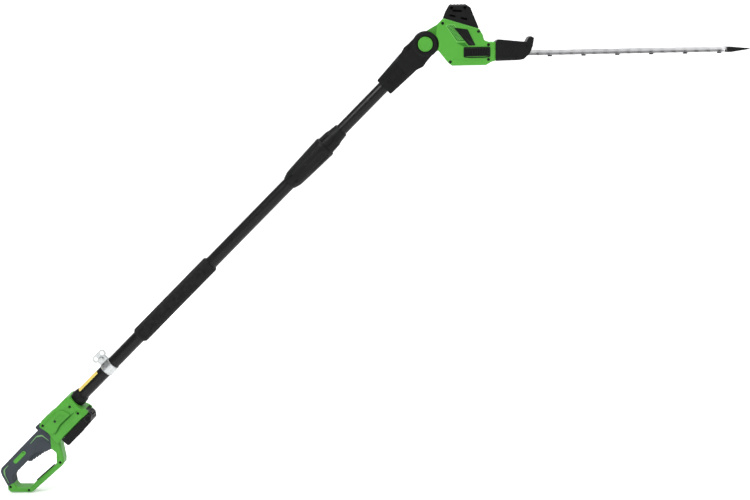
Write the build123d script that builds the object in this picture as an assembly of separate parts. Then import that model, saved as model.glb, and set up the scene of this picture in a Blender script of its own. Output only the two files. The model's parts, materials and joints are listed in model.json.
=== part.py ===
from build123d import *
import os
from math import cos, radians, sin

# Battery pole hedge trimmer: D-handle power unit, telescoping pole, tilting trimmer head.
# Row frame: +X along the blades, +Z up, origin at the hole of the strap eye.
# Pole parts are drawn in the pole's own frame: +X up the pole, origin on the tilt axis.
# Head parts are drawn in the head's frame: +X along the blades, origin on the tilt axis.

# Pole
POLE_ANGLE = 44.3
OUTER_R = 16.0
OUTER_BORE = 14.9
INNER_R = 14.6
INNER_BORE = 13.3
FIT = 0.05
GAP = 0.3
OUTER_TUBE_X = (-1296.0, -345.0)
INNER_TUBE_X = (-880.0, -60.0)
FOAM_X = (-1001.0, -745.0)
FOAM_R = 21.0
CLAMP_X = -1114.0
EYE_OFFSET = 11.0
EYE_HOLE_X = CLAMP_X + EYE_OFFSET
EYE_HOLE_Z = 37.0
EYE_HOLE_R = 5.0

# Rear power unit
WALL = 2.6
BODY_HALF = 33.0
RING_HALF = 15.5
BODY_TAPER = (-1245.0, 0.8)
BATTERY_TAPER = (-1252.0, 0.8)
SKIN = 2.0
RAIL_Z = -41.5
BODY = [
    (-1236, 21), (-1244, 24), (-1302, 24), (-1314, 27), (-1332, 27), (-1344, 21),
    (-1340, -5), (-1345, RAIL_Z), (-1232, RAIL_Z), (-1230, -36), (-1233, -27), (-1238, -20),
]
RING = [
    (-1325, 18), (-1346, 16), (-1383, 17), (-1501, 16), (-1510, 12), (-1516, 2),
    (-1526, -27), (-1533, -35), (-1533, -43), (-1495, -81), (-1488, -83), (-1390, -89),
    (-1379, -88), (-1371, -81), (-1346, -47), (-1338, RAIL_Z), (-1325, -30),
]
OPENING = [
    (-1373, -40), (-1372, -56), (-1394, -77), (-1407, -75), (-1466, -71), (-1485, -71),
    (-1510, -46), (-1508, -35), (-1498, -22), (-1490, -19), (-1397, -19), (-1390, -35),
]
GRIP_ZONE = [
    (-1350, 40), (-1345, 20), (-1339, -6), (-1371, -38), (-1387, -60), (-1443, -60),
    (-1493, -37), (-1538, -25), (-1563, 40),
]
BODY_SCREWS = [(-1250, 1), (-1248, -25), (-1303, 2), (-1335, 16)]
RING_SCREWS = [(-1383, -80), (-1522, -34), (-1495, -73)]

BATTERY = [
    (-1327, -42), (-1327, -62), (-1323, -65), (-1270, -65), (-1265, -63.5),
    (-1245, -63.5), (-1232, -52), (-1232, -42),
]
BATTERY_HALF = 36.0
CELL_R = 9.1
CELL_PITCH = 18.4
CELL_COUNT = 4

# Joint between pole and head
RING_R = 30.6
KNUCKLE_R = 30.0
KNUCKLE_HALF = 16.4
EAR_HALF = 30.0
PIN_R = 9.95
BUTTON_R = 17.3
SLEEVE_SCREWS = [(-122, -1), (-33, 21), (-33, -22)]
SLEEVE_SCREW_HALVES = [24.6, 29.0, 29.0]

# Trimmer head
HEAD_HALF = 36.0
CAP_HALF = 31.0
CARRIER_HALF = 34.0
HEAD_FRONT = 163.5
HEAD = [
    (28, 45), (42, 59), (126, 33), (134, 19), (137, 7), (147, 3), (HEAD_FRONT, 3),
    (HEAD_FRONT, -41), (153, -44), (141, -51), (62, -51), (54, -45), (30, -15), (24, 10),
]
NECK = [(0, 29), (12, 36), (28, 45), (52, 50), (52, -38), (30, -15), (16, -24), (0, -20)]
CAP = [(42, 59), (48, 75), (57, 90), (95, 90), (106, 82), (113, 64), (126, 33)]
CARRIER = [
    (164, 4), (171, 8), (235, 1), (241, 12), (246, 14), (253, 10), (250, -9),
    (243, -26), (229, -39), (217, -41), (164, -42),
]
HEAD_SCREWS = [(41, 47), (124, 27), (147, -4), (147, -38), (58, -42)]
CAP_SCREWS = [(62, 82), (93, 82)]
CARRIER_SCREWS = [(235, -8), (211, -37.3)]

# Drive
MODULE = 1.0
PINION_TEETH = 12
GEAR_TEETH = 48
MOTOR_X = 80.0
GEAR_X = MOTOR_X + MODULE * (PINION_TEETH + GEAR_TEETH) / 2
CRANK = 8.0
CRANK_R = 4.0

# Blades
BLADE_T = 2.2
UPPER_BLADE_Z = -28.2
LOWER_BLADE_Z = -30.6
BLADE_END = 694.0
BAR_HALF = 13.0
TOOTH_TIP = 33.0
TOOTH_PITCH = 79.0 / 3
TOOTH_COUNT = 17
FIRST_TOOTH = 293.0 - TOOTH_PITCH
BOLT_PITCH = 79.0
BOLT_COUNT = 7
FIRST_BOLT = 214.0
BOLT_R = 2.5
RAIL_X = (142.0, 703.5)

SCREW_R = 1.7
SCREW_HEAD_R = 3.4
BOSS_R = 4.6


def outline(points, radius):
    """A flat face from corner points, with every corner rounded to one radius."""
    return make_face(FilletPolyline(*points, radius=radius, close=True))


def slab(face, half, chamfer_by=0.0):
    """A face in X and Z, as thick as twice half along Y, with its rims eased."""
    solid = extrude(Plane.XZ * face, amount=half, both=True)
    if chamfer_by:
        rims = solid.faces().sort_by(Axis.Y)
        solid = chamfer(rims[0].edges() + rims[-1].edges(), chamfer_by)
    return solid


def block(x, y, z):
    """A box given by its low and high X, Y and Z."""
    size = (x[1] - x[0], y[1] - y[0], z[1] - z[0])
    centre = ((x[0] + x[1]) / 2, (y[0] + y[1]) / 2, (z[0] + z[1]) / 2)
    return Pos(*centre) * Box(*size)


def bar(x, half, z, radius):
    """A bar along X with its long edges rounded, which rounds what it is intersected with."""
    solid = block(x, (-half, half), z)
    return fillet(solid.edges().filter_by(Axis.X), radius)


def rod_x(radius, x, y=0.0, z=0.0):
    return Pos((x[0] + x[1]) / 2, y, z) * Rot(0, 90, 0) * Cylinder(radius, x[1] - x[0])


def rod_y(radius, y, x=0.0, z=0.0):
    return Pos(x, (y[0] + y[1]) / 2, z) * Rot(90, 0, 0) * Cylinder(radius, y[1] - y[0])


def rod_z(radius, z, x=0.0, y=0.0):
    return Pos(x, y, (z[0] + z[1]) / 2) * Cylinder(radius, z[1] - z[0])


def tube_x(outer, bore, x):
    return rod_x(outer, x) - rod_x(bore, x)


def turned(profile):
    """A ring turned about the pole axis from points of X and radius."""
    points = [(x, 0, r) for x, r in profile]
    return revolve(make_face(Polyline(*points, close=True)), Axis.X)


def near_half(solid):
    """The half on the -Y side, which is the left one in use."""
    return split(solid, bisect_by=Plane.XZ, keep=Keep.TOP)


def far_half(solid):
    return split(solid, bisect_by=Plane.XZ, keep=Keep.BOTTOM)


def bosses(points, half):
    """Screw pillars that run from one side wall to the other."""
    return [rod_y(BOSS_R, (-half + 1, half - 1), x, z) for x, z in points]


def screw_holes(points, half):
    """A head pocket from the near side and a pilot hole beyond it."""
    pockets = [rod_y(SCREW_HEAD_R + 0.3, (-half - 1, -half + 6), x, z) for x, z in points]
    pilots = [rod_y(SCREW_R, (-half + 2, half - 3), x, z) for x, z in points]
    return pockets + pilots


def screw_head(half, x, z):
    """The head of a screw, sunk from a side face that is half from the middle."""
    socket = extrude(RegularPolygon(1.7, 6), 1.6, both=True)
    head = rod_y(SCREW_HEAD_R, (-half + 3.4, -half + 6), x, z)
    return head - Pos(x, -half + 3, z) * Rot(90, 0, 0) * socket


def screws(points, half):
    """Pan-head screws that sit in those pockets, each with a star socket stood in by a hexagon."""
    made = []
    for x, z in points:
        shank = rod_y(SCREW_R, (-half + 5, half - 4), x, z)
        made.append(screw_head(half, x, z) + shank)
    return made


# Rear power unit

def grip_ring(inset, half, ease):
    """The closed D of the handle, set in by a distance from its outside and its opening."""
    outer = offset(outline(RING, 5), -inset) if inset else outline(RING, 5)
    hole = offset(outline(OPENING, 4), inset) if inset else outline(OPENING, 4)
    return slab(outer - hole, half, ease)


def battery_slot():
    """The T-shaped slot that the battery's rail slides in, open at the front."""
    neck = block((-1330, -1200), (-14.5, 14.5), (RAIL_Z - 1, -37.5))
    head = block((-1330, -1200), (-18.5, 18.5), (-37.5, -31))
    return neck + head


def trigger_slot():
    return block((-1443.5, -1391.5), (-9.4, 9.4), (-30, -8))


def lock_off_hole():
    return block((-1365, -1350), (-6.4, 6.4), (4, 40))


def front_taper(half, taper):
    """Everything between two sides that lean in from an X on, by a slope."""
    start, slope = taper
    plan = [(-1600, half), (start, half), (start + 30, half - 30 * slope)]
    mirrored = [(x, -y) for x, y in reversed(plan)]
    return Pos(0, 0, -100) * extrude(Polygon(*(plan + mirrored), align=None), 200, dir=(0, 0, 1))


def body_block():
    """The body of the power unit, rounded along its top."""
    rounding = bar((-1400, -1200), BODY_HALF, (RAIL_Z - 40, 27), 14)
    return slab(outline(BODY, 4), BODY_HALF, 2) & rounding & front_taper(BODY_HALF, BODY_TAPER)


def rear_housing():
    zone = slab(outline(GRIP_ZONE, 2), 60)
    ring = (grip_ring(0, RING_HALF, 3) - zone) + (grip_ring(SKIN, RING_HALF - SKIN, 1.5) & zone)
    inlays = slab(Pos(-1446, 2) * SlotOverall(42, 10), RING_HALF + 0.3)
    shell = body_block() + ring + (inlays - slab(outline(RING, 5), RING_HALF - SKIN - 1))
    space = slab(offset(outline(BODY, 4), -WALL), BODY_HALF - WALL)
    space = space & bar((-1400, -1200), BODY_HALF - WALL, (-28, 27 - WALL), 11)
    space = space & front_taper(BODY_HALF - 1.1 * WALL, BODY_TAPER)
    ring_space = grip_ring(SKIN + WALL, RING_HALF - SKIN - WALL, 0)
    for boss in bosses(BODY_SCREWS, BODY_HALF):
        space -= boss
    for boss in bosses(RING_SCREWS, RING_HALF):
        ring_space -= boss
    shell -= space
    shell -= ring_space
    shell -= rod_x(OUTER_R, (-1290, -1200))
    shell -= rod_x(19.2, (-1239, -1200))
    for cut in [battery_slot(), trigger_slot(), lock_off_hole()]:
        shell -= cut
    for hole in screw_holes(BODY_SCREWS, BODY_HALF) + screw_holes(RING_SCREWS, RING_HALF):
        shell -= hole
    return shell


def grip_overmould():
    zone = slab(outline(GRIP_ZONE, 2), 60)
    skin = (grip_ring(0, RING_HALF, 3) & zone) - grip_ring(SKIN, RING_HALF - SKIN, 1.5)
    skin -= body_block()
    skin -= slab(Pos(-1446, 2) * SlotOverall(42, 10), RING_HALF + 2)
    skin -= trigger_slot()
    return skin - lock_off_hole()


def strut_pad():
    return slab(Polygon((-1464, -70.9), (-1407, -74.8), (-1407, -72.4), (-1464, -68.5), align=None), 8)


def pole_boot():
    return turned([
        (-1238, OUTER_R), (-1238, 19), (-1235, 19), (-1228, 20.5),
        (-1219, 19.2), (-1213, 17.6), (-1213, OUTER_R),
    ])


def warning_label():
    band = tube_x(OUTER_R + 0.3, OUTER_R, (-1211, -1144))
    return band & (Pos(-1177, 0, 0) * Rot(20, 0, 0) * block((-40, 40), (-9, 9), (8, 30)))


def trigger_switch():
    body = block((-1411, -1377), (-8, 8), (-3, 10))
    return chamfer(body.edges().filter_by(Axis.Y), 1) + block((-1417, -1411), (-3, 3), (1, 6))


def control_board():
    board = block((-1335, -1312), (12, 13.6), (-24, 9))
    for z in (-17, -4):
        board += rod_y(5, (3, 12.5), -1324, z)
    return board


def battery_terminals():
    block_part = block((-1330, -1327), (-17, 17), (-37, -31.3))
    for y in (-12, 0, 12):
        block_part += block((-1327.5, -1311), (y - 0.4, y + 0.4), (-36, -33))
    return block_part


def outer_tube():
    tube = tube_x(OUTER_R, OUTER_BORE, OUTER_TUBE_X)
    return tube - rod_y(BOSS_R + 0.1, (-20, 20), *BODY_SCREWS[0])


def foam_grip():
    sleeve = tube_x(FOAM_R, OUTER_R, FOAM_X)
    rims = sleeve.edges().filter_by(GeomType.CIRCLE).filter_by(lambda e: e.radius > FOAM_R - 0.1)
    return fillet(rims, 3.5)


def strap_clamp():
    band = tube_x(18.2, OUTER_R, (CLAMP_X - 13.5, CLAMP_X + 13.5))
    band -= block((CLAMP_X - 20, CLAMP_X + 20), (-2.1, 2.1), (5, 30))
    ears = block((CLAMP_X - 12, CLAMP_X + 12), (-5, 5), (17, 31.5))
    ears = fillet(ears.edges().filter_by(Axis.Y).group_by(Axis.Z)[-1], 6)
    ears -= block((CLAMP_X - 20, CLAMP_X + 20), (-2.1, 2.1), (5, 40))
    ears -= rod_x(OUTER_R, (CLAMP_X - 20, CLAMP_X + 20))
    return band + ears - rod_y(3.05, (-10, 10), CLAMP_X, 26)


def strap_eye():
    plate = Pos(CLAMP_X, EYE_HOLE_Z) * RectangleRounded(40, 17, 7.5)
    plate += Pos(CLAMP_X, 27) * RectangleRounded(22, 16, 3)
    eye = slab(plate, 2, 0.6)
    for side in (-1, 1):
        eye -= rod_y(EYE_HOLE_R, (-5, 5), CLAMP_X + EYE_OFFSET * side, EYE_HOLE_Z)
    return eye - rod_y(3.05, (-5, 5), CLAMP_X, 26)


def hexagon_y(across, y, x, z):
    hexagon = RegularPolygon(across / 2, 6, major_radius=False)
    return Pos(x, (y[0] + y[1]) / 2, z) * Rot(90, 0, 0) * extrude(hexagon, (y[1] - y[0]) / 2, both=True)


def clamp_bolt():
    return rod_y(3, (-6, 12), CLAMP_X, 26) + hexagon_y(10, (-9, -5), CLAMP_X, 26)


def clamp_nut():
    return hexagon_y(10, (5, 9.5), CLAMP_X, 26) - rod_y(3.05, (0, 15), CLAMP_X, 26)


def lock_base():
    base = turned([
        (-400, OUTER_R), (-400, 19), (-338, 19), (-338, 23.4), (-314, 22.4), (-306, 20),
        (-286, 17.8), (-284, 16.6), (-284, 14.65), (-318, 14.65), (-318, 17), (-345, 17), (-345, OUTER_R),
    ])
    for step in range(8):
        base -= Rot(45 * step + 10, 0, 0) * block((-336, -313), (-1.4, 1.4), (21, 30))
    return base


def lock_collet():
    collet = tube_x(17, 14.65, (-345, -318))
    for step in range(3):
        collet -= Rot(60 * step, 0, 0) * block((-340, -310), (-0.8, 0.8), (-20, 20))
    return collet


def lock_sleeve():
    sleeve = turned([
        (-465, 16.3), (-465, 17.6), (-450, 22.2), (-442, 23), (-380, 26), (-346, 27),
        (-340, 26.6), (-338.3, 25.4), (-338.3, 19.3), (-401, 19.3), (-401, 16.3),
    ])
    for step in range(8):
        flute = Pos(0, 0, 31) * rod_x(7, (-436, -348))
        notch = block((-468, -443), (-1.5, 1.5), (20, 30))
        sleeve -= Rot(45 * step, 0, 0) * flute
        sleeve -= Rot(45 * step + 22.5, 0, 0) * notch
    return sleeve


def coiled_lead():
    return rod_x(9, (-1244, -1028))


def trigger():
    face = outline([(-1443, -12), (-1440, -24), (-1396, -32.5), (-1392, -29), (-1392, -12)], 1.5)
    return slab(face, 9, 1)


def spring_z(radius, x, z):
    """A plain sleeve that fills the space of a coil spring pressed solid."""
    return rod_z(radius, z, x) - rod_z(radius - 1, z, x)


def lock_off_button():
    stem = block((-1364.5, -1350.5), (-6, 6), (8, 27))
    return fillet(stem.edges().filter_by(Axis.Y).group_by(Axis.Z)[-1], 4)


# Battery

def latch_pocket():
    return block((-1240, -1200), (-12.4, 12.4), (-54.4, -43.8))


def battery_case():
    face = Polygon(*BATTERY, align=None)
    case = slab(face, BATTERY_HALF, 1.5) & front_taper(BATTERY_HALF, BATTERY_TAPER)
    case -= slab(offset(face, -1.6), BATTERY_HALF - 1.8) & front_taper(BATTERY_HALF - 2, BATTERY_TAPER)
    case += block((-1326.5, -1232.5), (-14, 14), (-42.5, -37))
    case += block((-1326.5, -1234), (-18, 18), (-37.2, -31.4))
    for y in (-12, 0, 12):
        case -= block((-1330, -1308), (y - 1, y + 1), (-36.6, -32.4))
    return case - latch_pocket()


def battery_cells():
    spots = [-1315.8 + CELL_PITCH * step for step in range(CELL_COUNT)]
    return [rod_y(CELL_R, (-32.5, 32.5), x, -52.8) for x in spots]


def battery_latch():
    thumb = block((-1239.5, -1230.5), (-12, 12), (-50.8, -44.2))
    return chamfer(thumb.faces().sort_by(Axis.X)[-1].edges(), 1.5)


# Inner pole and joint

def inner_tube():
    return tube_x(INNER_R, INNER_BORE, INNER_TUBE_X)


def guide_bush():
    flange = tube_x(OUTER_BORE - FIT, 8, (-892, -880))
    return flange + tube_x(INNER_BORE, 8, (-881, -866))


def joint_sleeve():
    stem = slab(outline([(-140, 21.5), (-62, 26.5), (-10, 28), (-10, -28), (-62, -28), (-140, -24)], 4), 23)
    stem = stem & bar((-150, 0), 23, (-28, 28), 9)
    shoulder = [(-80, 19), (-40, 30.5), (-28, 29), (0, 29), (0, -29), (-28, -31), (-40, -33.5), (-80, -20)]
    sleeve = stem + slab(outline(shoulder, 3), 29, 2)
    sleeve += rod_y(RING_R, (-EAR_HALF, EAR_HALF))
    sleeve += slab(outline([(-125, 7), (-60, 9), (-60, -9), (-125, -7)], 3), 24.6, 0.8)
    sleeve -= rod_y(33, (-KNUCKLE_HALF - GAP, KNUCKLE_HALF + GAP))
    sleeve -= block((-10, 40), (-KNUCKLE_HALF - GAP, KNUCKLE_HALF + GAP), (-40, 40))
    sleeve -= rod_x(INNER_R, (-150, -60)) + rod_x(6, (-70, -20))
    sleeve -= rod_y(PIN_R + FIT, (-40, 40))
    for side in (-1, 1):
        ends = sorted((side * 22, side * 40))
        sleeve -= rod_y(19.2, ends)
    return sleeve



def sleeve_with_holes():
    sleeve = joint_sleeve()
    for point, half in zip(SLEEVE_SCREWS, SLEEVE_SCREW_HALVES):
        sleeve -= rod_y(SCREW_HEAD_R + 0.3, (-half - 1, -half + 6), *point)
    return sleeve


def sleeve_screws():
    pairs = zip(SLEEVE_SCREWS, SLEEVE_SCREW_HALVES)
    return [screw_head(half, x, z) for (x, z), half in pairs]


def pivot_pin():
    return rod_y(PIN_R, (-21.5, 21.5)) - rod_y(5, (-30, 30))


def joint_cap():
    cap = rod_y(BUTTON_R, (25, 31))
    return chamfer(cap.faces().sort_by(Axis.Y)[-1].edges(), 1) + rod_y(4.9, (12, 26))


def head_lead():
    return rod_x(3.5, (-860, -35))


def joint_button():
    cap = rod_y(BUTTON_R, (-32, -28))
    return fillet(cap.faces().sort_by(Axis.Y)[0].edges(), 1.2) + rod_y(4.6, (-29, -2))


def joint_spring():
    return rod_y(8, (-22.8, -21.6)) - rod_y(5.2, (-24, -20))


# Trimmer head

def head_housing():
    body = slab(outline(HEAD, 3), HEAD_HALF, 2.5)
    body -= rod_y(RING_R + 1.2, (-60, 60))
    body += slab(outline(NECK, 2), KNUCKLE_HALF)
    body += rod_y(KNUCKLE_R, (-KNUCKLE_HALF, KNUCKLE_HALF))
    space = slab(offset(outline(HEAD, 3), -WALL), HEAD_HALF - WALL) - rod_y(RING_R + 4, (-60, 60))
    for boss in bosses(HEAD_SCREWS, HEAD_HALF):
        space -= boss
    body -= space
    body -= rod_y(PIN_R + FIT, (-40, 40))
    body -= rod_z(23.5, (5, 80), MOTOR_X)
    body -= block((150, 180), (-20, 20), (-36.5, -12))
    for side in (-1, 1):
        y = sorted((side * (HEAD_HALF - WALL - 1), side * (HEAD_HALF + 1)))
        body -= block((91, 149), y, (-30, -11))
    for hole in screw_holes(HEAD_SCREWS, HEAD_HALF):
        body -= hole
    return body


def vent_slots():
    slots = []
    for x, z, length, turn in [(75, 75, 22, -4), (64, 64, 15, -14), (91, 57, 16, -14)]:
        slot = Pos(x, z) * Rot(0, 0, turn) * SlotOverall(length, 4.6)
        slots.append(slab(slot, 60))
    return slots


def motor_cap():
    cap = slab(outline(CAP, 2), CAP_HALF) & bar((0, 200), CAP_HALF, (-20, 90), 9)
    space = slab(offset(outline(CAP, 2), -2.4), CAP_HALF - 2.4)
    space = space & bar((0, 200), CAP_HALF - 2.4, (-20, 87.6), 6.6)
    space += rod_z(23.5, (0, 80), MOTOR_X)
    for boss in bosses(CAP_SCREWS, CAP_HALF):
        space -= boss
    cap -= space
    for cut in vent_slots() + screw_holes(CAP_SCREWS, CAP_HALF):
        cap -= cut
    return cap


def badges():
    face = outline([(66, 37), (99, 32), (117, -5), (101, -5)], 1.5)
    whole = slab(face, HEAD_HALF + 1)
    return whole - block((0, 200), (-HEAD_HALF, HEAD_HALF), (-60, 60))


def vent_grilles():
    made = []
    for side in (-1, 1):
        y = sorted((side * (HEAD_HALF - WALL), side * (HEAD_HALF + 0.8)))
        grille = block((91.2, 148.8), y, (-29.8, -11.2))
        for step in range(9):
            x = 97 + 5.75 * step
            cut = sorted((side * (HEAD_HALF - 1.4), side * (HEAD_HALF + 2)))
            grille -= block((x - 1.2, x + 1.2), cut, (-27, -14))
        made.append(grille)
    return made


def motor():
    can = rod_z(22, (4, 74), MOTOR_X)
    can = chamfer(can.edges().filter_by(GeomType.CIRCLE), 1.5)
    return can + rod_z(7, (74, 77), MOTOR_X) - rod_z(2.55, (0, 20), MOTOR_X)


def gearbox_plate():
    plate = block((50, 132), (-29, 29), (-3, 1))
    plate = fillet(plate.edges().filter_by(Axis.Z), 6)
    return plate - rod_z(6.5, (-5, 5), MOTOR_X) - rod_z(9, (-5, 5), GEAR_X)


def gear_bearing():
    return rod_z(9, (-3, 1), GEAR_X) - rod_z(5 + FIT, (-5, 5), GEAR_X)


def toothed(teeth, z, phase):
    """A spur gear with straight-sided teeth, thin enough to leave backlash."""
    pitch_r = MODULE * teeth / 2
    root_r = pitch_r - 1.25 * MODULE
    tip_r = pitch_r + 0.9 * MODULE
    wheel = Circle(root_r)
    tooth = Polygon(
        (root_r - 0.5, -0.95), (tip_r, -0.32), (tip_r, 0.32), (root_r - 0.5, 0.95), align=None
    )
    for step in range(teeth):
        wheel += Rot(0, 0, phase + 360 * step / teeth) * tooth
    return Pos(0, 0, z[0]) * extrude(wheel, z[1] - z[0], dir=(0, 0, 1))


def motor_pinion():
    return Pos(MOTOR_X, 0, 0) * (toothed(PINION_TEETH, (-20, -12), 15) + rod_z(2.5, (-21, 18)))


def drive_gear():
    wheel = Pos(GEAR_X, 0, 0) * toothed(GEAR_TEETH, (-20, -12), 180)
    wheel += rod_z(5, (-32, 1), GEAR_X)
    wheel += rod_z(CRANK_R, (-28.3, -19), GEAR_X + CRANK)
    return wheel + rod_z(CRANK_R, (-31, -19), GEAR_X - CRANK)


def blade_outline():
    """Half of the blade's edge from the yoke to the point, toothed along +Y."""
    edge = [(GEAR_X - 28, 20), (GEAR_X + 28, 20), (152, BAR_HALF)]
    for step in range(TOOTH_COUNT):
        x = FIRST_TOOTH + TOOTH_PITCH * step
        edge += [(x - 6, BAR_HALF), (x - 2.6, TOOTH_TIP), (x + 2.6, TOOTH_TIP), (x + 6, BAR_HALF)]
    return edge + [(BLADE_END, BAR_HALF)]


def blade(z):
    edge = blade_outline()
    mirrored = [(x, -y) for x, y in reversed(edge)]
    face = Polygon(*(edge + mirrored), align=None)
    window = 2 * (CRANK + CRANK_R + CRANK + 0.5)
    face -= Pos(GEAR_X, 0) * RectangleRounded(window, 26, 8)
    for step in range(BOLT_COUNT):
        face -= Pos(FIRST_BOLT + BOLT_PITCH * step, 0) * SlotOverall(2 * (CRANK + BOLT_R + GAP), 5.6)
    return Pos(0, 0, z) * extrude(face, BLADE_T, dir=(0, 0, 1))


def bolt_positions():
    return [FIRST_BOLT + BOLT_PITCH * step for step in range(BOLT_COUNT)]


def blade_rail():
    rail = block(RAIL_X, (-7, 7), (-25.8, -17))
    rail = chamfer(rail.edges().filter_by(Axis.X).group_by(Axis.Z)[-1], 1.2)
    for x in bolt_positions():
        rail -= rod_z(BOLT_R, (-30, -18.5), x)
    return rail


def blade_bolts():
    made = []
    for x in bolt_positions():
        head = Pos(x, 0, -34) * extrude(RegularPolygon(4.5, 6, major_radius=False), 3.1, dir=(0, 0, 1))
        made.append(head + rod_z(BOLT_R, (-32, -18.5), x))
    return made


def tip_guard():
    edge = [(703.7, -19.5), (712, -19.5), (757, -24), (758, -26), (712, -32), (703.7, -32)]
    side = Polygon(*edge, align=None)
    plan = Polygon((703, -14), (712, -14), (758, -3), (758, 3), (712, 14), (703, 14), align=None)
    return slab(side, 20) & (Pos(0, 0, -40) * extrude(plan, 40, dir=(0, 0, 1)))


def blade_carrier():
    carrier = slab(outline(CARRIER, 2), CARRIER_HALF) & bar((150, 260), CARRIER_HALF, (-42, 14.5), 8)
    space = bar((160, 231), CARRIER_HALF - WALL, (-38.5, -1), 5.5)
    for boss in bosses(CARRIER_SCREWS, CARRIER_HALF):
        space -= boss
    carrier -= space
    carrier -= block((150, 270), (-15, 15), (-35, -16.9))
    for hole in screw_holes(CARRIER_SCREWS, CARRIER_HALF):
        carrier -= hole
    return carrier


# Placing and writing

def from_pole(shape):
    """From the pole's frame into the row frame."""
    return Rot(0, -POLE_ANGLE, 0) * Pos(-EYE_HOLE_X, 0, -EYE_HOLE_Z) * shape


def from_head(shape):
    """From the head's frame into the row frame."""
    tilt_x = -EYE_HOLE_X * cos(radians(POLE_ANGLE)) + EYE_HOLE_Z * sin(radians(POLE_ANGLE))
    tilt_z = -EYE_HOLE_X * sin(radians(POLE_ANGLE)) - EYE_HOLE_Z * cos(radians(POLE_ANGLE))
    return Pos(tilt_x, 0, tilt_z) * shape


def write(name, shapes, place):
    """Write one node, which is one solid or a group of like solids."""
    group = shapes if isinstance(shapes, list) else [shapes]
    solids = [solid for shape in group for solid in place(shape).solids()]
    export_step(Compound(children=solids), f"parts/{name}.step")


def write_pole():
    housing = rear_housing()
    skin = grip_overmould()
    write("rear_housing_left", near_half(housing), from_pole)
    write("rear_housing_right", far_half(housing), from_pole)
    write("grip_overmould_left", near_half(skin), from_pole)
    write("grip_overmould_right", far_half(skin), from_pole)
    write("strut_pad", strut_pad(), from_pole)
    write("pole_boot", pole_boot(), from_pole)
    write("warning_label", warning_label(), from_pole)
    write("housing_screws", screws(BODY_SCREWS, BODY_HALF) + screws(RING_SCREWS, RING_HALF), from_pole)
    write("trigger_switch", trigger_switch(), from_pole)
    write("control_board", control_board(), from_pole)
    write("battery_terminals", battery_terminals(), from_pole)
    write("outer_tube", outer_tube(), from_pole)
    write("foam_grip", foam_grip(), from_pole)
    write("strap_clamp", strap_clamp(), from_pole)
    write("strap_eye", strap_eye(), from_pole)
    write("clamp_bolt", clamp_bolt(), from_pole)
    write("clamp_nut", clamp_nut(), from_pole)
    write("lock_base", lock_base(), from_pole)
    write("lock_collet", lock_collet(), from_pole)
    write("lock_sleeve", lock_sleeve(), from_pole)
    write("coiled_lead", coiled_lead(), from_pole)
    write("trigger", trigger(), from_pole)
    write("trigger_spring", spring_z(3.5, -1428, (-5, -1)), from_pole)
    write("lock_off_button", lock_off_button(), from_pole)
    write("lock_off_spring", spring_z(3.5, -1357.5, (-3, 2.5)), from_pole)
    write("battery_case", battery_case(), from_pole)
    write("battery_cells", battery_cells(), from_pole)
    write("battery_latch", battery_latch(), from_pole)
    write("inner_tube", inner_tube(), from_pole)
    write("guide_bush", guide_bush(), from_pole)


def write_joint():
    sleeve = sleeve_with_holes()
    write("joint_sleeve_left", near_half(sleeve), from_pole)
    write("joint_sleeve_right", far_half(sleeve), from_pole)
    write("sleeve_screws", sleeve_screws(), from_pole)
    write("pivot_pin", pivot_pin(), from_pole)
    write("joint_cap", joint_cap(), from_pole)
    write("head_lead", head_lead(), from_pole)
    write("joint_button", joint_button(), from_pole)
    write("joint_spring", joint_spring(), from_pole)


def write_head():
    housing = head_housing()
    cap = motor_cap()
    carrier = blade_carrier()
    write("head_housing_left", near_half(housing), from_head)
    write("head_housing_right", far_half(housing), from_head)
    write("motor_cap_left", near_half(cap), from_head)
    write("motor_cap_right", far_half(cap), from_head)
    write("head_screws", screws(HEAD_SCREWS, HEAD_HALF) + screws(CAP_SCREWS, CAP_HALF), from_head)
    write("badges", badges(), from_head)
    write("vent_grilles", vent_grilles(), from_head)
    write("motor", motor(), from_head)
    write("gearbox_plate", gearbox_plate(), from_head)
    write("gear_bearing", gear_bearing(), from_head)
    write("motor_pinion", motor_pinion(), from_head)
    write("drive_gear", drive_gear(), from_head)
    write("upper_blade", blade(UPPER_BLADE_Z), from_head)
    write("lower_blade", blade(LOWER_BLADE_Z), from_head)
    write("blade_rail", blade_rail(), from_head)
    write("blade_bolts", blade_bolts(), from_head)
    write("tip_guard", tip_guard(), from_head)
    write("blade_carrier_left", near_half(carrier), from_head)
    write("blade_carrier_right", far_half(carrier), from_head)
    write("carrier_screws", screws(CARRIER_SCREWS, CARRIER_HALF), from_head)


os.makedirs("parts", exist_ok=True)
write_pole()
write_joint()
write_head()
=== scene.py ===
import json
from math import atan, cos, pi, radians, sin

import bmesh
import bpy
from mathutils import Matrix, Vector


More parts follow.
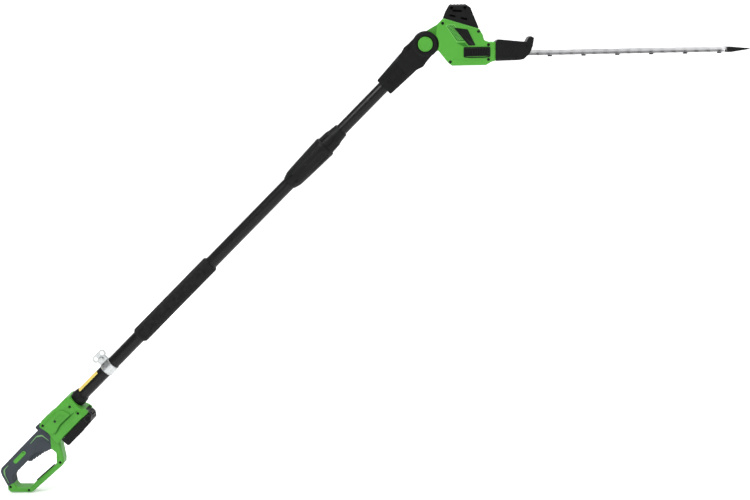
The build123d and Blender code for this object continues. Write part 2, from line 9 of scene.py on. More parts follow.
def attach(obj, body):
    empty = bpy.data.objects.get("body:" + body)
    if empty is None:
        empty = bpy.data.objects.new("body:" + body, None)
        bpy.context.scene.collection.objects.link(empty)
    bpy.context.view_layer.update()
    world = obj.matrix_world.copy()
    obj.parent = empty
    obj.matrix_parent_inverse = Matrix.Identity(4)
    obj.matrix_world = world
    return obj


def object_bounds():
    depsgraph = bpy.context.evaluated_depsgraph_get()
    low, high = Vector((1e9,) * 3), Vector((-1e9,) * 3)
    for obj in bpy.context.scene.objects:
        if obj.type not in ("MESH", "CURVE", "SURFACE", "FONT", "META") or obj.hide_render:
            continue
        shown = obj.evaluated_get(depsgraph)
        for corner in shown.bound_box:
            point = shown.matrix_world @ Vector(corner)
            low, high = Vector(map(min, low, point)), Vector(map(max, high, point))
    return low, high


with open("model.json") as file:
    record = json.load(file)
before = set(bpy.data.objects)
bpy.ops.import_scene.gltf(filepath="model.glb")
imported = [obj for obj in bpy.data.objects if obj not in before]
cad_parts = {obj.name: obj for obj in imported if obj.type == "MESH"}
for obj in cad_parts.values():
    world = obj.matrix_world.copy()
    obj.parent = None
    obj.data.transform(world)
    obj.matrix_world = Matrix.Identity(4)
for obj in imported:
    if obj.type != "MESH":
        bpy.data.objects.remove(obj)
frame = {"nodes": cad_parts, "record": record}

CAD_LO, CAD_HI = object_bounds()
MM = 0.001
JOINTS = {joint["name"]: joint for joint in frame["record"]["behaviour"]["joints"]}
POLE_DIR = Vector(JOINTS["pole_slide"]["axis"]).normalized()
TILT_AXIS = Vector(JOINTS["head_tilt"]["pos_m"])

# Millimetres in the pole's frame (X up the pole, Z off its top) and in the head's frame,
# both with their origin on the tilt axis, become metres in the row frame.
POLE = Matrix((
    (POLE_DIR.x * MM, 0, -POLE_DIR.z * MM, TILT_AXIS.x),
    (0, MM, 0, 0),
    (POLE_DIR.z * MM, 0, POLE_DIR.x * MM, TILT_AXIS.z),
    (0, 0, 0, 1),
))
HEAD = Matrix.Translation(TILT_AXIS) @ Matrix.Scale(MM, 4)
POLE_TURN = -radians(44.3)

# Where a piece goes: its frame, the body it rides on and its slot
UNIT_GREEN = (POLE, "power_unit", "green_plastic")
UNIT_GREY = (POLE, "power_unit", "grey_rubber")
UNIT_BLACK = (POLE, "power_unit", "black_plastic")
UNIT_ZINC = (POLE, "power_unit", "zinc_steel")
UNIT_SCREW = (POLE, "power_unit", "screw_steel")
UNIT_LABEL = (POLE, "power_unit", "label_yellow")
TRIGGER_GREY = (POLE, "trigger", "grey_rubber")
PACK_BLACK = (POLE, "battery", "black_plastic")
JOINT_BLACK = (POLE, "inner_pole", "black_plastic")
BUTTON_GREEN = (POLE, "joint_button", "green_plastic")
HEAD_GREEN = (HEAD, "head", "green_plastic")
HEAD_BLACK = (HEAD, "head", "black_plastic")
RAIL = (HEAD, "head", "rail_alloy")
SIDES = ((-1, "left"), (1, "right"))


# Materials

def new_material(name, color, roughness, metallic=0.0, **sockets):
    material = bpy.data.materials.new(name)
    material.use_nodes = True
    shader = material.node_tree.nodes["Principled BSDF"]
    shader.inputs["Base Color"].default_value = (*color, 1)
    shader.inputs["Roughness"].default_value = roughness
    shader.inputs["Metallic"].default_value = metallic
    for socket, value in sockets.items():
        shader.inputs[socket.replace("_", " ")].default_value = value
    return material, shader


def add_node(material, kind, **values):
    node = material.node_tree.nodes.new(kind)
    for key, value in values.items():
        node.inputs[key].default_value = value
    return node


def object_space(material, stretch=(1, 1, 1), turn=0.0):
    """Object coordinates, stretched, and turned about Y so that X can follow the pole."""
    coords = add_node(material, "ShaderNodeTexCoord")
    mapping = add_node(material, "ShaderNodeMapping")
    mapping.inputs["Scale"].default_value = stretch
    mapping.inputs["Rotation"].default_value = (0, turn, 0)
    material.node_tree.links.new(coords.outputs["Object"], mapping.inputs["Vector"])
    return mapping.outputs["Vector"]


def noise(material, vector, scale, detail=3.0, roughness=0.5):
    node = add_node(material, "ShaderNodeTexNoise", Scale=scale, Detail=detail, Roughness=roughness)
    material.node_tree.links.new(vector, node.inputs["Vector"])
    return node.outputs["Fac"]


def link_ramp(material, factor, positions, colors, socket):
    """Feeds a socket with a change from one colour to another between two places of a factor."""
    node = add_node(material, "ShaderNodeValToRGB")
    for element, position, color in zip(node.color_ramp.elements, positions, colors):
        element.position = position
        element.color = (*color, 1)
    material.node_tree.links.new(factor, node.inputs["Fac"])
    material.node_tree.links.new(node.outputs["Color"], socket)


def vary_color(material, shader, factor, positions, color, darkest, lightest):
    tones = (tint(color, darkest), tint(color, lightest))
    link_ramp(material, factor, positions, tones, shader.inputs["Base Color"])


def vary_roughness(material, shader, factor, positions, lowest, highest):
    link_ramp(material, factor, positions, ((lowest,) * 3, (highest,) * 3), shader.inputs["Roughness"])


def bump(material, shader, height, strength, distance):
    node = add_node(material, "ShaderNodeBump", Strength=strength, Distance=distance)
    material.node_tree.links.new(height, node.inputs["Height"])
    material.node_tree.links.new(node.outputs["Normal"], shader.inputs["Normal"])


def tint(color, by):
    return tuple(min(1.0, channel * by) for channel in color)


def moulded(name, color, roughness, grain=2600.0, grain_depth=0.00012, **sockets):
    """Moulded plastic: fine spark-eroded grain, faint flow mottling and handling scuffs."""
    material, shader = new_material(name, color, roughness, **sockets)
    space = object_space(material)
    mottling = noise(material, space, 14.0, 4.0, 0.6)
    vary_color(material, shader, mottling, (0.3, 0.7), color, 0.93, 1.06)
    scuffs = noise(material, space, 60.0, 6.0, 0.7)
    vary_roughness(material, shader, scuffs, (0.35, 0.68), roughness - 0.05, roughness + 0.1)
    bump(material, shader, noise(material, space, grain, 2.0), 0.25, grain_depth)
    return material


def brushed(name, color, roughness, stretch, turn=0.0, strength=0.2):
    """Metal with fine lines along one way and a slow change in its tone."""
    material, shader = new_material(name, color, roughness, 1.0)
    lines = noise(material, object_space(material, stretch, turn), 90.0, 5.0, 0.65)
    vary_color(material, shader, lines, (0.3, 0.7), color, 0.82, 1.1)
    vary_roughness(material, shader, lines, (0.25, 0.75), roughness - 0.06, roughness + 0.12)
    bump(material, shader, lines, strength, 0.0001)
    return material


def foam_material():
    """Closed-cell foam: small pits on a soft, dull skin."""
    color = (0.0105, 0.0105, 0.011)
    sheen = {"Sheen_Weight": 0.06, "Sheen_Roughness": 0.5}
    material, shader = new_material("foam", color, 0.9, Specular_IOR_Level=0.1, **sheen)
    space = object_space(material)
    cells = add_node(material, "ShaderNodeTexVoronoi", Scale=1100.0)
    material.node_tree.links.new(space, cells.inputs["Vector"])
    vary_color(material, shader, noise(material, space, 120.0, 4.0), (0.3, 0.7), color, 0.7, 1.5)
    bump(material, shader, cells.outputs["Distance"], 0.5, 0.0004)
    return material


# Moulded finishes, three of which are painted highlight and painted shade: colour, roughness and
# how strongly they shine, and for some the grain's scale and depth. The metals are brushed.
PLASTICS = {
    "green_plastic": ((0.068, 0.315, 0.032), 0.42, 0.28),
    "black_plastic": ((0.0062, 0.0064, 0.0066), 0.45, 0.14),
    "cell_wrap": ((0.02, 0.09, 0.25), 0.3, 0.5),
    "label_yellow": ((0.72, 0.58, 0.13), 0.4, 0.5),
    "board_green": ((0.01, 0.08, 0.03), 0.4, 0.5),
    "lead_black": ((0.008, 0.008, 0.008), 0.6, 0.2),
    "accent_green": ((0.16, 0.36, 0.13), 0.5, 0.2),
    # highlight_green is painted highlight: the lit tops of the small domes on the head and of their frame.
    "highlight_green": ((0.15, 0.45, 0.1), 0.45, 0.25),
    # painted_shade_green is painted shade: the groove under the housing's shoulder, the recesses on the
    # head and the inlay, and the bed between the domes.
    "painted_shade_green": ((0.03, 0.17, 0.018), 0.5, 0.1),
    # grey_black is a greyer black for the battery's latch rims and charge lights.
    "grey_black": ((0.03, 0.028, 0.027), 0.5, 0.2),
    "gloss_black": ((0.006, 0.007, 0.006), 0.2, 0.25),
    # shadow_sheet_black is painted shade for the dark inside of the motor cap's slots.
    "shadow_sheet_black": ((0.0012, 0.0012, 0.0012), 0.8, 0.03),
    "label_orange": ((0.6, 0.3, 0.05), 0.45, 0.5),
    "grey_rubber": ((0.047, 0.056, 0.066), 0.7, 0.15, 1900.0, 0.0002),
    "tube_black": ((0.0055, 0.0052, 0.0056), 0.3, 0.22, 900.0, 0.00004),
}


def make_materials():
    materials = {}
    for name, (color, roughness, shine, *grain) in PLASTICS.items():
        materials[name] = moulded(name, color, roughness, *grain, Specular_IOR_Level=shine)
    materials["screw_steel"] = moulded("screw_steel", (0.009, 0.009, 0.01), 0.4, Metallic=0.6)
    materials["foam"] = foam_material()
    materials["zinc_steel"] = brushed("zinc_steel", (0.52, 0.54, 0.54), 0.26, (1, 1, 1), POLE_TURN, 0.1)
    materials["blade_steel"] = brushed("blade_steel", (0.36, 0.36, 0.37), 0.34, (0.06, 1, 1))
    materials["rail_alloy"] = brushed("rail_alloy", (0.82, 0.82, 0.83), 0.36, (0.03, 1, 1))
    return materials


MATERIALS = make_materials()


def dress_nodes():
    """Every CAD node takes the material of its slot in the record."""
    for part in frame["record"]["subparts"]:
        node = frame["nodes"][part["node"]]
        node.data.materials.clear()
        node.data.materials.append(MATERIALS[part["material_slot"]])


dress_nodes()

# Mesh helpers. Points are millimetres in the pole's or the head's frame.

def place_piece(name, mesh, place, body, slot, material=None):
    """Puts a mesh of millimetres in place, as a piece that rides on a CAD body."""
    mesh.transform(place)
    mesh.materials.append(MATERIALS[material or slot])
    piece = bpy.data.objects.new(name, mesh)
    bpy.context.collection.objects.link(piece)
    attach(piece, body)
    return piece


def mesh_of(bm, name, sharp=38.0):
    """A mesh from a bmesh, smooth but for edges sharper than an angle."""
    bmesh.ops.recalc_face_normals(bm, faces=bm.faces)
    mesh = bpy.data.meshes.new(name)
    bm.to_mesh(mesh)
    bm.free()
    mesh.shade_smooth()
    mesh.set_sharp_from_angle(angle=radians(sharp))
    return mesh


def rounded(points, radius, steps=5, closed=True):
    """Corner points with each corner turned into a short curve."""
    made = []
    corners = [Vector(point) for point in points]
    count = len(corners)
    for i, here in enumerate(corners):
        if not closed and i in (0, count - 1):
            made.append(here)
            continue
        before = corners[i - 1] - here
        after = corners[(i + 1) % count] - here
        reach = min(radius, before.length * 0.45, after.length * 0.45)
        start = here + before.normalized() * reach
        end = here + after.normalized() * reach
        for step in range(steps + 1):
            t = step / steps
            made.append(start * (1 - t) ** 2 + here * 2 * t * (1 - t) + end * t * t)
    return made


def panel_mesh(name, points, side, inner, outer, ease):
    """A plate on a side face, from one distance off the middle to another, its outer rim eased."""
    bm = bmesh.new()
    low = [bm.verts.new((x, side * inner, z)) for x, z in points]
    high = [bm.verts.new((x, side * outer, z)) for x, z in points]
    top = bm.faces.new(high)
    bm.faces.new(list(reversed(low)))
    count = len(points)
    for i in range(count):
        j = (i + 1) % count
        bm.faces.new((low[i], low[j], high[j], high[i]))
    rim = list(top.edges)
    bmesh.ops.bevel(bm, geom=rim, offset=ease, segments=3, profile=0.6, affect="EDGES", clamp_overlap=True)
    return mesh_of(bm, name)


def band(path, widths):
    """The outline of a band that follows a path and has a width at each of its points."""
    left, right = [], []
    count = len(path)
    for i, at in enumerate(path):
        ahead = path[min(i + 1, count - 1)] - path[max(i - 1, 0)]
        across = Vector((-ahead.y, ahead.x)).normalized()
        half = widths[0] + (widths[1] - widths[0]) * (1 - abs(2 * i / (count - 1) - 1))
        left.append(at + across * half / 2)
        right.append(at - across * half / 2)
    return left + right[::-1]


def both_sides(name, points, inner, outer, ease, where, material=None):
    """One plate on each side of the tool."""
    for side, word in SIDES:
        mesh = panel_mesh(f"{name}_{word}", points, side, inner, outer, ease)
        place_piece(f"{name}_{word}", mesh, *where, material)


def strips(name, path, widths, radius, face, where, material=None):
    """A raised strip along a path, on each side of the tool, between two distances off its middle."""
    inner, outer = face
    line = band(rounded(path, radius, 4, closed=False), widths)
    both_sides(name, line, inner, outer, min(0.5, (outer - inner) * 0.4), where, material)


def lathe_mesh(name, profile, axis, centre=(0, 0, 0), steps=64):
    """A closed profile of (along, radius) turned about a line through centre, along X, Y or Z."""
    bm = bmesh.new()
    rings = []
    middle = Vector(centre)
    for along, radius in profile:
        ring = []
        for i in range(steps):
            angle = 2 * pi * i / steps
            a, b = radius * cos(angle), radius * sin(angle)
            offset = {"X": (along, a, b), "Y": (a, along, b), "Z": (a, b, along)}[axis]
            ring.append(bm.verts.new(middle + Vector(offset)))
        rings.append(ring)
    for first, second in zip(rings, rings[1:] + rings[:1]):
        for i in range(steps):
            j = (i + 1) % steps
            bm.faces.new((first[i], first[j], second[j], second[i]))
    return mesh_of(bm, name)


STUD_STEPS = 10
STUD_PROFILE = ((-0.3, 1.0), (0.0, 1.0), (0.6, 0.8), (0.93, 0.4))


def studs_mesh(name, spots, side, face, radius, height):
    """Many small domes on a side face, as one mesh."""
    bm = bmesh.new()
    for x, z in spots:
        rings = []
        for rise, share in STUD_PROFILE:
            ring = []
            for i in range(STUD_STEPS):
                angle = 2 * pi * i / STUD_STEPS
                r = radius * share
                y = side * (face + height * rise)
                ring.append(bm.verts.new((x + r * cos(angle), y, z + r * sin(angle))))
            rings.append(ring)
        for first, second in zip(rings, rings[1:]):
            for i in range(STUD_STEPS):
                j = (i + 1) % STUD_STEPS
                bm.faces.new((first[i], first[j], second[j], second[i]))
        bm.faces.new(rings[-1])
        bm.faces.new(list(reversed(rings[0])))
    return mesh_of(bm, name, 60.0)


def tube_patch_mesh(name, x, angles, inner, outer):
    """A thin patch wrapped round the pole, between two angles in degrees from its top."""
    bm = bmesh.new()
    steps = 8
    rows = []
    for i in range(steps + 1):
        angle = radians(angles[0] + (angles[1] - angles[0]) * i / steps)
        row = []
        for along, radius in ((x[0], inner), (x[0], outer), (x[1], outer), (x[1], inner)):
            row.append(bm.verts.new((along, -radius * sin(angle), radius * cos(angle))))
        rows.append(row)
    for first, second in zip(rows, rows[1:]):
        for i in range(4):
            j = (i + 1) % 4
            bm.faces.new((first[i], first[j], second[j], second[i]))
    bm.faces.new(rows[0])
    bm.faces.new(list(reversed(rows[-1])))
    return mesh_of(bm, name)


# Rear power unit

BODY_FACE = 33.0
RING_FACE = 15.5
BATTERY_FACE = 36.0
BATTERY_CORNER_X = -1252.0
BATTERY_LEAN = atan(0.8)
SHOULDER = [
    (-1337, 12), (-1339, 2), (-1334, -12), (-1325, -18),
    (-1303, -12), (-1262, -13), (-1268, 8), (-1283, 14),
]
SHOULDER_RIB = [(-1300, 7), (-1279, 3.5), (-1276, -6), (-1299, -5.5)]
SHOULDER_SCREW = [(3.2, 3.6), (3.7, 3.4), (3.7, 2.6), (3.5, 2.4), (3.5, 0.3), (2.5, 0.3), (2.5, 3.6)]
VALLEY = [(-1330, -20.5), (-1322, -21), (-1303, -15), (-1259, -16), (-1245, -20)]
FLANGE = [(-1332, -27), (-1316, -22), (-1262, -22), (-1250, -17), (-1247, -12)]
NECK_CREASE = [(-1345, -12), (-1345, -27), (-1362, -40), (-1373, -62), (-1383, -77)]
GRIP_LINES = {
    "front_grip_line": [(-1400, 7), (-1375, 8.5), (-1362, 0), (-1361, -20)],
    "rear_grip_line": [(-1483, 8), (-1500, 8), (-1508, -2), (-1517, -24)],
}
GRIP_SWELL = [(-1412, -16), (-1385, -6), (-1366, -12), (-1364, -34), (-1376, -38), (-1388, -31)]
INLAY_DOT = [(-15.5, 2.2), (-15.9, 1.9), (-15.9, 0.2), (-15, 0.2)]
TRIGGER_RIB_COUNT = 5
TRIGGER_SLOPE = 8.5 / 44
LATCH_RIM = [(3, -45), (19, -45), (22, -49), (19, -58), (3, -58)]
LATCH_KEY = [(5, -46.5), (17.5, -46.5), (20, -49.5), (17.5, -56.5), (5, -56.5)]
PACK_RIB_COUNT = 3
CHARGE_LIGHT = [(-0.9, 1.5), (0.5, 1.5), (0.9, 1.0), (0.9, 0.1), (-0.9, 0.1)]
CHARGE_LIGHT_COUNT = 4


def mirrored_profile(profile, side, offset=0.0):
    """A profile turned about Y, for one side of the tool."""
    return [(side * (offset + along), radius) for along, radius in profile]


def make_housing_details():
    """A raised shoulder over a valley drawn as a strip of painted shade, a ribbed mark, flange and neck
    lines and its screw.
    """
    shoulder = rounded(SHOULDER, 4)
    both_sides("housing_shoulder", shoulder, BODY_FACE - 1.5, BODY_FACE + 3.4, 3.2, UNIT_GREEN)
    face = (BODY_FACE - 0.8, BODY_FACE + 0.25)
    # The valley is a flat strip of painted shade, darker green where the groove under the shoulder is in
    # shadow.
    strips("shoulder_valley", VALLEY, (2.2, 4.6), 4, face, UNIT_GREEN, "painted_shade_green")
    strips("shoulder_rib", SHOULDER_RIB, (1.4, 2.0), 2.5, (BODY_FACE + 3, BODY_FACE + 4.3), UNIT_GREEN)
    strips("flange_line", FLANGE, (1.6, 2.4), 4, (BODY_FACE - 0.8, BODY_FACE + 0.7), UNIT_GREEN)
    strips("neck_crease", NECK_CREASE, (1.4, 2.6), 5, (RING_FACE - 0.6, RING_FACE + 0.6), UNIT_GREEN)
    for side, word in SIDES:
        profile = mirrored_profile(SHOULDER_SCREW, side, BODY_FACE)
        mesh = lathe_mesh(f"shoulder_screw_{word}", profile, "Y", (-1303, 0, 2), 40)
        place_piece(f"shoulder_screw_{word}", mesh, *UNIT_SCREW)


def make_grip_details():
    """Pale lines and a swell on the soft grip, finger ribs on the trigger, and a dot of painted shade for
    the small recess on the inlay.
    """
    face = (RING_FACE - 0.8, RING_FACE + 0.45)
    for name, path in GRIP_LINES.items():
        strips(name, path, (1.2, 3.8), 4, face, UNIT_GREEN, "accent_green")
    both_sides("grip_swell", rounded(GRIP_SWELL, 5), RING_FACE - 1, RING_FACE + 1.1, 1.4, UNIT_GREY)
    for step in range(TRIGGER_RIB_COUNT):
        x = -1436 + 9.0 * step
        z = -25.3 - (x + 1440) * TRIGGER_SLOPE
        rib = [(-7, 0.9), (-7.6, 0.3), (7.6, 0.3), (7, 0.9)]
        mesh = lathe_mesh(f"trigger_rib_{step}", rib, "Y", (x, 0, z), 20)
        place_piece(f"trigger_rib_{step}", mesh, *TRIGGER_GREY)
    # The inlay dot is painted shade: a dark green dot for a small recess.
    mesh = lathe_mesh("inlay_dot", INLAY_DOT, "Y", (-1431, 0, 4), 32)
    place_piece("inlay_dot", mesh, *UNIT_GREEN, "painted_shade_green")


def make_battery_details():
    """Latch keys on the leaning front corners, ribs along the sides and four charge lights."""
    rim = rounded(LATCH_RIM, 2)
    key = rounded(LATCH_KEY, 2)
    _, body, slot = PACK_BLACK
    for side, word in SIDES:
        corner = Matrix.Translation((BATTERY_CORNER_X, side * BATTERY_FACE, 0))
        place = POLE @ corner @ Matrix.Rotation(-side * BATTERY_LEAN, 4, "Z")
        mesh = panel_mesh(f"latch_rim_{word}", rim, side, -1.0, 0.6, 0.3)
        # The latch rim is a greyer black than the pack.
        place_piece(f"latch_rim_{word}", mesh, place, body, slot, "grey_black")
        mesh = panel_mesh(f"latch_key_{word}", key, side, -1.0, 1.6, 0.8)
        place_piece(f"latch_key_{word}", mesh, place, body, slot)
    for step in range(PACK_RIB_COUNT):
        z = -47.5 - 4.6 * step
        face = (BATTERY_FACE - 0.6, BATTERY_FACE + 0.6)
        strips(f"pack_rib_{step}", [(-1321, z), (-1262, z)], (1.3, 1.5), 1, face, PACK_BLACK)
    for step in range(CHARGE_LIGHT_COUNT):
        mesh = lathe_mesh(f"charge_light_{step}", CHARGE_LIGHT, "X", (-1238.4, -7.5 + 5 * step, -58), 20)
        place_piece(f"charge_light_{step}", mesh, *PACK_BLACK, "grey_black")


# Pole

FOAM_RIM = [(-1.8, 16.0), (-1.8, 17.6), (-1.2, 18.4), (1.2, 18.4), (1.8, 17.6), (1.8, 16.0)]
FOAM_RIM_X = {"foam_rim_low": -1001.4, "foam_rim_high": -744.6}
CLAMP_LIP = [(-0.5, 16.1), (-0.5, 18.5), (-0.2, 18.8), (0.2, 18.8), (0.5, 18.5), (0.5, 16.1)]
CLAMP_LIP_X = {"clamp_lip_low": -1127.0, "clamp_lip_high": -1101.0}
CLAMP_WASHER = [(-9.2, 7.4), (-8.9, 7.8), (-7.2, 7.8), (-7.2, 3.2), (-9.2, 3.2)]
WASHER_SHIFT = 2.3


def make_pole_details():
    """A stripe on the label, rims at the foam's ends, and lips and a washer on the clamp."""
    mesh = tube_patch_mesh("label_stripe", (-1208, -1147), (27, 32), 16.25, 16.38)
    place_piece("label_stripe", mesh, *UNIT_LABEL, "label_orange")
    for name, x in FOAM_RIM_X.items():
        place_piece(name, lathe_mesh(name, FOAM_RIM, "X", (x, 0, 0)), *UNIT_BLACK)
    for name, x in CLAMP_LIP_X.items():
        place_piece(name, lathe_mesh(name, CLAMP_LIP, "X", (x, 0, 0)), *UNIT_ZINC)
    profile = [(along + WASHER_SHIFT, radius) for along, radius in CLAMP_WASHER]
    mesh = lathe_mesh("clamp_washer", profile, "Y", (-1114, 0, 26), 40)
    place_piece("clamp_washer", mesh, *UNIT_ZINC)


# Joint and head

HEAD_FACE = 36.0
CARRIER_FACE = 34.0
CAP_FACE = 31.0
JOINT_RING = [
    (29.2, 19.6), (30.8, 20.4), (31.4, 22.5), (31.5, 25.5), (31.0, 28.0), (29.9, 29.8), (29.2, 29.8),
]
JOINT_MARK_RADIUS = 36.5
SLEEVE_BAR_COUNT = 5
BUTTON_RING = [(31.7, 15.2), (32.4, 14.6), (32.4, 13.4), (31.7, 13.0)]
DIMPLE_START = Vector((53.5, 39.5))
DIMPLES_ALONG = Vector((23.0, -31.5))
DIMPLES_ACROSS = Vector((10.5, 1.8))
DIMPLE_ROWS, DIMPLE_COLUMNS = 12, 4
DIMPLE_FRAME = [(48, 42), (66.5, 44.5), (94, 4.5), (73.5, 4)]
DIMPLE_BED = [(50, 41), (65.5, 43.5), (92, 5.5), (75, 5)]
RECESS = [(73, 1.5), (93, 1.5), (99, -7), (88, -7)]
BADGE = [(69, 34.6), (97.6, 30.2), (113.5, -2.8), (102, -2.8)]
VENT_FRAME = [(90, -9.6), (150, -9.6), (150, -31), (139, -32.6), (101, -32.6), (90, -31)]
HEAD_CREASE = [(62, -34), (76, -39), (136, -39), (146, -28), (146, -12)]
# Outline of the dark sheets of painted shade inside the motor cap's slots.
CAP_SHADE_SHEET = [(50, 60), (56, 86), (96, 86), (116, 48), (112, 42), (60, 56)]
CAP_RIB_COUNT = 5
CAP_RIB_Z = (89.4, 90.9)
CARRIER_RIB_COUNT = 4
RAIL_LINE = [(256, -19.2), (701, -19.2), (701, -21.4), (256, -21.4)]


def make_joint_details():
    """A domed ring round the lock button, its travel mark, and ribs along the sleeve."""
    for side, word in SIDES:
        mesh = lathe_mesh(f"joint_ring_{word}", mirrored_profile(JOINT_RING, side), "Y", steps=96)
        place_piece(f"joint_ring_{word}", mesh, *JOINT_BLACK)
    angles = [radians(degree) for degree in range(162, 201, 3)]
    arc = [Vector((JOINT_MARK_RADIUS * cos(angle), JOINT_MARK_RADIUS * sin(angle))) for angle in angles]
    both_sides("joint_mark", band(arc, (2.2, 2.6)), 28.4, 29.7, 0.5, JOINT_BLACK)
    for step, z in enumerate((-14, 14)):
        strips(f"sleeve_rib_{step}", [(-130, z * 0.9), (-72, z)], (1.6, 2.6), 2, (22, 23.9), JOINT_BLACK)
    for step in range(SLEEVE_BAR_COUNT):
        x = -118 + 9 * step
        strips(f"sleeve_bar_{step}", [(x, -5.5), (x + 3, 5.5)], (1.8, 2.2), 1, (24, 25.4), JOINT_BLACK)
    mesh = lathe_mesh("button_ring", mirrored_profile(BUTTON_RING, -1), "Y")
    place_piece("button_ring", mesh, *BUTTON_GREEN)


def dimple_spots():
    """A grid of small domes that leans with the strip it fills."""
    spots = []
    for row in range(DIMPLE_ROWS):
        for column in range(DIMPLE_COLUMNS):
            along = DIMPLES_ALONG * (row / (DIMPLE_ROWS - 1))
            across = DIMPLES_ACROSS * (column / (DIMPLE_COLUMNS - 1))
            spots.append(DIMPLE_START + along + across)
    return spots


def make_head_details():
    """A framed strip of domes, with painted highlight on the domes and the frame and painted shade on the
    bed between them, a recess in painted shade, a badge face, a vent frame and side seams.
    """
    # The frame's pale green is painted highlight along its raised rim.
    frame_line = rounded(DIMPLE_FRAME, 2.5)
    frame_band = band(frame_line + [frame_line[0]], (1.3, 1.3))
    both_sides("dimple_frame", frame_band, HEAD_FACE - 0.6, HEAD_FACE + 0.7, 0.3, HEAD_GREEN, "highlight_green")
    # The bed is painted shade between the domes.
    bed = rounded(DIMPLE_BED, 2)
    both_sides("dimple_bed", bed, HEAD_FACE - 0.6, HEAD_FACE + 0.15, 0.1, HEAD_GREEN, "painted_shade_green")
    for side, word in SIDES:
        # The domes' pale green is painted highlight on their lit tops.
        mesh = studs_mesh(f"dimples_{word}", dimple_spots(), side, HEAD_FACE, 1.15, 0.9)
        place_piece(f"dimples_{word}", mesh, *HEAD_GREEN, "highlight_green")
    # The recess is a near-flat plate of painted shade.
    recess = rounded(RECESS, 1.5)
    both_sides("head_recess", recess, HEAD_FACE - 0.6, HEAD_FACE + 0.25, 0.15, HEAD_GREEN, "painted_shade_green")
    badge = rounded(BADGE, 2)
    both_sides("badge_face", badge, HEAD_FACE + 0.6, HEAD_FACE + 1.5, 0.4, HEAD_BLACK, "gloss_black")
    vent_line = rounded(VENT_FRAME, 2)
    vent_band = band(vent_line + [vent_line[0]], (2.2, 2.2))
    both_sides("vent_frame", vent_band, HEAD_FACE - 0.6, HEAD_FACE + 1.1, 0.5, HEAD_BLACK)
    seam_face = (HEAD_FACE - 2.6, HEAD_FACE + 0.5)
    strips("cap_seam", [(44, 50.5), (60, 49), (124, 29.5)], (1.2, 1.6), 4, seam_face, HEAD_GREEN)
    strips("head_crease", HEAD_CREASE, (1.2, 2.0), 5, (HEAD_FACE - 0.6, HEAD_FACE + 0.5), HEAD_GREEN)


def cap_rib_mesh(name, outline):
    """A low rib that stands on the cap's top, its upper rim eased."""
    bm = bmesh.new()
    low, high = [[bm.verts.new((at.x, at.y, z)) for at in outline] for z in CAP_RIB_Z]
    top = bm.faces.new(high)
    bm.faces.new(list(reversed(low)))
    for i in range(len(outline)):
        j = (i + 1) % len(outline)
        bm.faces.new((low[i], low[j], high[j], high[i]))
    bmesh.ops.bevel(bm, geom=list(top.edges), offset=0.5, segments=2, profile=0.6, affect="EDGES")
    return mesh_of(bm, name)


def make_cap_details():
    """Ribs across the motor cap's top and a raised border above its foot."""
    border = [(48, 60.5), (58, 59), (122, 39)]
    strips("cap_border", border, (1.8, 2.2), 3, (CAP_FACE - 1, CAP_FACE + 0.8), HEAD_BLACK)
    for step in range(CAP_RIB_COUNT):
        x = 60 + 8 * step
        path = rounded([(x, -20), (x + 1.5, 0), (x, 20)], 4, 4, closed=False)
        mesh = cap_rib_mesh(f"cap_rib_{step}", band(path, (2.0, 2.4)))
        place_piece(f"cap_rib_{step}", mesh, *HEAD_BLACK)


def make_cap_shade_sheets():
    """Dark sheets of painted shade just inside the slots of the motor cap, so the slots read dark inside.
    """
    both_sides("cap_shade_sheet", rounded(CAP_SHADE_SHEET, 3), 26.4, 27.6, 0.3, HEAD_BLACK, "shadow_sheet_black")


def make_carrier_details():
    """A long ridge, a foot line and short ribs on the blade carrier."""
    ridge = [(170, 0.5), (180, -3), (226, -6)]
    strips("carrier_ridge", ridge, (2.0, 2.8), 4, (CARRIER_FACE - 1, CARRIER_FACE + 1.0), HEAD_BLACK)
    foot = [(172, -34), (204, -33), (216, -30)]
    strips("carrier_foot", foot, (1.6, 2.2), 4, (CARRIER_FACE - 1, CARRIER_FACE + 0.8), HEAD_BLACK)
    face = (CARRIER_FACE - 0.8, CARRIER_FACE + 0.7)
    for step in range(CARRIER_RIB_COUNT):
        x = 182 + 8 * step
        strips(f"carrier_rib_{step}", [(x, -26), (x + 5, -12)], (1.4, 2.0), 2, face, HEAD_BLACK)


def make_blade_details():
    """A bright ground strip along each side of the blade rail."""
    both_sides("rail_line", rounded(RAIL_LINE, 0.8), 6.7, 7.35, 0.2, RAIL)


make_housing_details()
make_grip_details()
make_battery_details()
make_pole_details()
make_joint_details()
make_head_details()
make_cap_details()
make_cap_shade_sheets()
make_carrier_details()
make_blade_details()


# Stage

FLOOR_REACH = 40.0
BACKDROP_Y = 14.0
BACKDROP_RISE = 9.0
BACKDROP_BEND = 4.0
BEND_STEPS = 12
NEAR, FAR = 0, 1
WHITE = (1, 1, 1, 1)
WORLD_LIGHT = 0.34
CAMERA_DISTANCE = 2.962
CAMERA_LENS = 58.38


def floor_material(name, glow):
    material, shader = new_material(name, (0.93, 0.93, 0.93), 0.85, Specular_IOR_Level=0.1)
    shader.inputs["Emission Color"].default_value = WHITE
    shader.inputs["Emission Strength"].default_value = glow
    return material


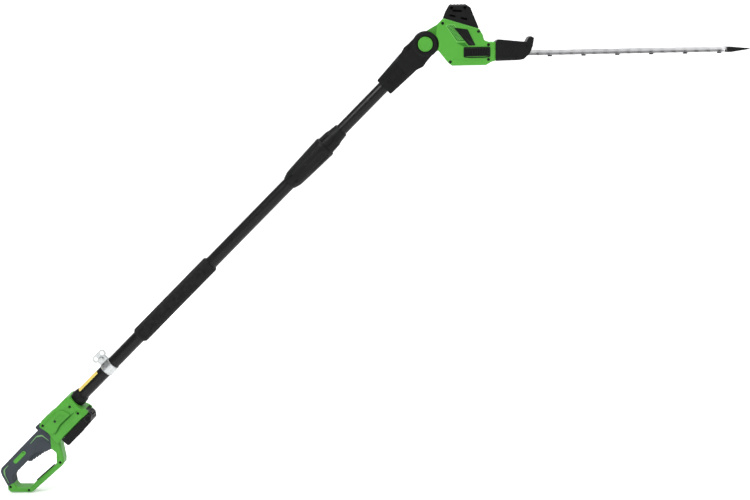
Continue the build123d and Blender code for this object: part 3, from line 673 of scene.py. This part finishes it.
def make_floor():
    """A pale floor that curves up into a backdrop far behind, brighter where the lamps do not reach."""
    floor_z = CAD_LO.z - 0.002
    start = BACKDROP_Y - BACKDROP_BEND
    profile = [(-FLOOR_REACH, 0.0), (-1.8, 0.0), (1.8, 0.0), (start, 0.0)]
    for step in range(1, BEND_STEPS + 1):
        angle = pi / 2 * step / BEND_STEPS
        profile.append((start + BACKDROP_BEND * sin(angle), BACKDROP_BEND * (1 - cos(angle))))
    profile.append((BACKDROP_Y, BACKDROP_RISE))
    columns = (-FLOOR_REACH, -1.3, 2.6, FLOOR_REACH)
    vertices = [(x, y, floor_z + z) for x in columns for y, z in profile]
    count = len(profile)
    corners = [column * count + i for column in range(len(columns) - 1) for i in range(count - 1)]
    mesh = bpy.data.meshes.new("floor")
    mesh.from_pydata(vertices, [], [(i, i + 1, count + i + 1, count + i) for i in corners])
    mesh.polygons.foreach_set("use_smooth", [True] * len(corners))
    middle = count + 1
    mesh.polygons.foreach_set("material_index", [NEAR if i == middle else FAR for i in corners])
    floor = bpy.data.objects.new("floor", mesh)
    bpy.context.collection.objects.link(floor)
    mesh.materials.append(floor_material("floor_near", 0.32))
    mesh.materials.append(floor_material("floor_far", 0.72))


def make_light(name, place, target, size, power):
    light = bpy.data.lights.new(name, "AREA")
    light.shape = "RECTANGLE"
    light.size, light.size_y = size
    light.energy = power
    lamp = bpy.data.objects.new(name, light)
    lamp.location = place
    lamp.rotation_euler = (Vector(target) - Vector(place)).to_track_quat("-Z", "Y").to_euler()
    bpy.context.collection.objects.link(lamp)


def make_lights():
    world = bpy.data.worlds.new("studio")
    world.use_nodes = True
    sky = world.node_tree.nodes["Background"]
    sky.inputs["Color"].default_value = WHITE
    sky.inputs["Strength"].default_value = WORLD_LIGHT
    bpy.context.scene.world = world
    centre = (CAD_LO + CAD_HI) / 2
    make_light("key", centre + Vector((-1.6, -2.2, 2.6)), centre, (1.6, 1.6), 95)
    make_light("fill", centre + Vector((2.4, -2.4, 1.0)), centre, (2.4, 2.0), 14)
    make_light("top", centre + Vector((0.2, 0.6, 3.0)), centre, (3.0, 1.6), 70)


def make_camera():
    """A 58 mm lens 3 m away, 10 degrees above level and rolled by about a degree."""
    azimuth, elevation, roll = radians(2.37), radians(9.78), radians(-1.148)
    aim = TILT_AXIS + Vector((-0.12857, 0, -0.49187))
    back = Vector((sin(azimuth) * cos(elevation), -cos(azimuth) * cos(elevation), sin(elevation)))
    data = bpy.data.cameras.new("camera")
    data.sensor_width = 36.0
    data.lens = CAMERA_LENS
    data.clip_start, data.clip_end = 0.05, 60.0
    camera = bpy.data.objects.new("camera", data)
    camera.location = aim + back * CAMERA_DISTANCE
    turn = (-back).to_track_quat("-Z", "Y").to_matrix() @ Matrix.Rotation(roll, 3, "Z")
    camera.rotation_euler = turn.to_euler()
    bpy.context.collection.objects.link(camera)
    bpy.context.scene.camera = camera


make_floor()
make_lights()
make_camera()
bpy.context.scene.view_settings.view_transform = "Standard"
